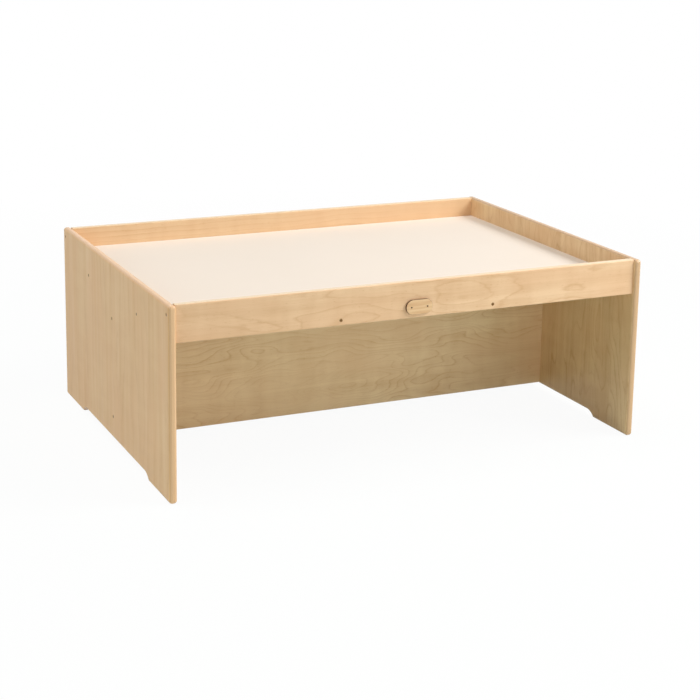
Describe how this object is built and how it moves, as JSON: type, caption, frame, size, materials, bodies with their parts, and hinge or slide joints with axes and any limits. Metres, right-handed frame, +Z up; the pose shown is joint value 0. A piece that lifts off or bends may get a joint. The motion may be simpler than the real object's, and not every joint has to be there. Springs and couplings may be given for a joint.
{
  "type": "low children's table with open storage",
  "caption": "Low wooden children's table with a sunk white top inside raised edges and an upright divider that makes open storage bays front and rear.",
  "frame": {"origin": "on the floor, at the middle of the footprint", "axes": "+X along the length, -Y is the front with the plaque, +Z up"},
  "size_m": [1.219, 0.858, 0.454],
  "materials": {
    "side_plywood": "birch plywood, clear satin lacquer, grain and edge plies show",
    "rail_plywood": "birch plywood, clear satin lacquer, grain and edge plies show",
    "divider_plywood": "birch plywood, clear satin lacquer, grain and edge plies show",
    "white_laminate": "warm white high-pressure laminate, fine satin texture",
    "core_board": "plain plywood core, hidden",
    "backing_sheet": "plain laminate backing sheet",
    "cleat_wood": "planed birch strip, clear lacquer",
    "screw_steel": "zinc-plated steel",
    "dowel_wood": "plain beech dowel",
    "plaque_wood": "thin birch plaque, clear lacquer, bare",
    "pin_steel": "bronzed steel"
  },
  "bodies": {
    "root": {"left_side_panel": "side_plywood", "right_side_panel": "side_plywood", "front_rail": "rail_plywood", "rear_rail": "rail_plywood", "centre_divider": "divider_plywood", "top_laminate": "white_laminate", "top_core": "core_board", "top_backer": "backing_sheet", "front_cleat": "cleat_wood", "rear_cleat": "cleat_wood", "left_front_cleat": "cleat_wood", "left_rear_cleat": "cleat_wood", "right_front_cleat": "cleat_wood", "right_rear_cleat": "cleat_wood", "divider_cleat": "cleat_wood", "left_rail_screws": "screw_steel", "right_rail_screws": "screw_steel", "left_divider_screws": "screw_steel", "right_divider_screws": "screw_steel", "left_cleat_screws": "screw_steel", "right_cleat_screws": "screw_steel", "front_cleat_screws": "screw_steel", "rear_cleat_screws": "screw_steel", "divider_cleat_screws": "screw_steel", "top_screws": "screw_steel", "rail_dowels": "dowel_wood", "front_plaque": "plaque_wood", "plaque_pins": "pin_steel"}
  },
  "joints": []
}
